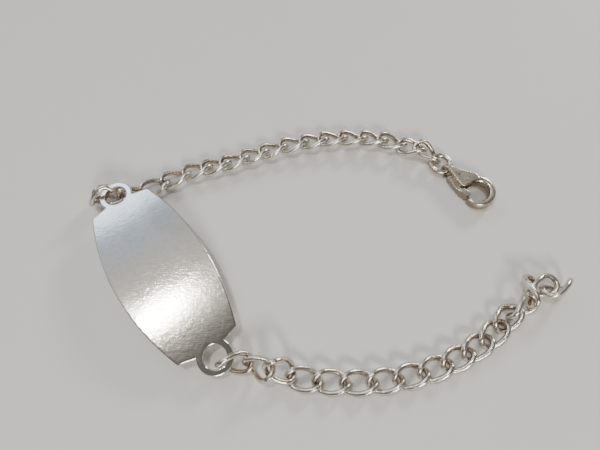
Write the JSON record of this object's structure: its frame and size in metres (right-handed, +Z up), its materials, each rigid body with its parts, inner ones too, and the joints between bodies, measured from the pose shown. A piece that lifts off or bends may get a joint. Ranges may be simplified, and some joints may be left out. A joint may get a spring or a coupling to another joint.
{
  "type": "id bracelet",
  "caption": "Id bracelet with a curved bare plate, a curb chain at each end and a lobster clasp, unclasped and lying open",
  "frame": {"origin": "On the flat surface that the bracelet lies on, straight below the middle of the plate.", "axes": "+Z up from the surface. +X from the plate towards the chains' loose ends, along the open bracelet's longer side. +Y from the tail's chain towards the clasp's chain."},
  "size_m": [0.0776, 0.0455, 0.005],
  "materials": {
    "plate_silver": "worn sterling silver, satin with fine scratches",
    "chain_silver": "worn sterling silver, softly polished, with warm tarnish between the links",
    "clasp_silver": "worn sterling silver, polished by handling"
  },
  "bodies": {
    "bracelet": {"id_plate": "plate_silver", "clasp_link_01": "chain_silver", "clasp_link_02": "chain_silver", "clasp_link_03": "chain_silver", "clasp_link_04": "chain_silver", "clasp_link_05": "chain_silver", "clasp_link_06": "chain_silver", "clasp_link_07": "chain_silver", "clasp_link_08": "chain_silver", "clasp_link_09": "chain_silver", "clasp_link_10": "chain_silver", "clasp_link_11": "chain_silver", "clasp_link_12": "chain_silver", "clasp_link_13": "chain_silver", "clasp_link_14": "chain_silver", "clasp_link_15": "chain_silver", "clasp_link_16": "chain_silver", "clasp_link_17": "chain_silver", "clasp_link_18": "chain_silver", "jump_ring": "chain_silver", "clasp_body": "clasp_silver", "clasp_pin": "clasp_silver", "tail_link_01": "chain_silver", "tail_link_02": "chain_silver", "tail_link_03": "chain_silver", "tail_link_04": "chain_silver", "tail_link_05": "chain_silver", "tail_link_06": "chain_silver", "tail_link_07": "chain_silver", "tail_link_08": "chain_silver", "tail_link_09": "chain_silver", "tail_link_10": "chain_silver", "tail_link_11": "chain_silver", "tail_link_12": "chain_silver", "tail_link_13": "chain_silver", "tail_link_14": "chain_silver", "tail_link_15": "chain_silver", "tail_link_16": "chain_silver", "tail_link_17": "chain_silver"},
    "lever": {"clasp_lever": "clasp_silver"}
  },
  "joints": [
    {"name": "lever_hinge", "type": "hinge", "parent": "bracelet", "child": "lever", "pos_m": [0.04844, 0.01757, 0.00125], "axis": [0, 0, 1], "range_deg": [0, 25], "stiffness_Nm_per_rad": 0.0001, "springref_deg": -28.65}
  ]
}
